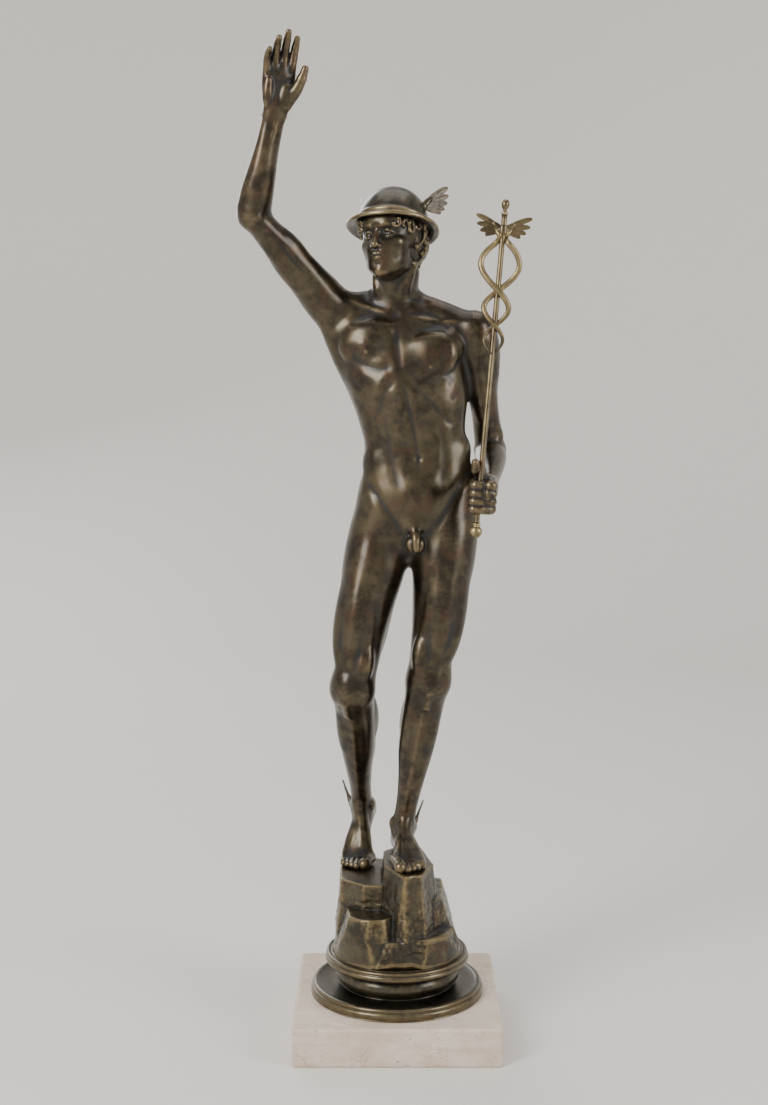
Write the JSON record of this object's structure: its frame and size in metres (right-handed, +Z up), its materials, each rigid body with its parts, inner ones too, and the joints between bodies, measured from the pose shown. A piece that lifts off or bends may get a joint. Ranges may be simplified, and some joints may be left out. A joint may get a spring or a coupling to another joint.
{
  "type": "mercury statuette",
  "caption": "Standing bronze herald in a winged cap, one hand raised and a caduceus in the other, on a rocky mound, a turned round base and a square stone plinth.",
  "frame": {"origin": "centre of the plinth's underside", "axes": "+Z up, +X to the figure's left, the figure faces -Y, lengths in metres"},
  "size_m": [0.238, 0.175, 0.8383],
  "materials": {
    "travertine": "honed pinkish-beige stone with small brown pits, faint veins and a worn top edge",
    "dark_bronze": "near-black olive patina, satin, a little brassier on the raised beads",
    "rough_bronze": "dark brown patina over rough-cast rock, matt in the hollows",
    "patinated_bronze": "semi-gloss dark brown patina, mottled olive and reddish brown, rubbed on the raised parts",
    "worn_bronze": "brown patina rubbed through to brassy metal along the rod"
  },
  "bodies": {
    "root": {"stone_plinth": "travertine", "turned_base": "dark_bronze", "rocky_mound": "rough_bronze", "figure": "patinated_bronze", "caduceus": "worn_bronze"}
  },
  "joints": []
}
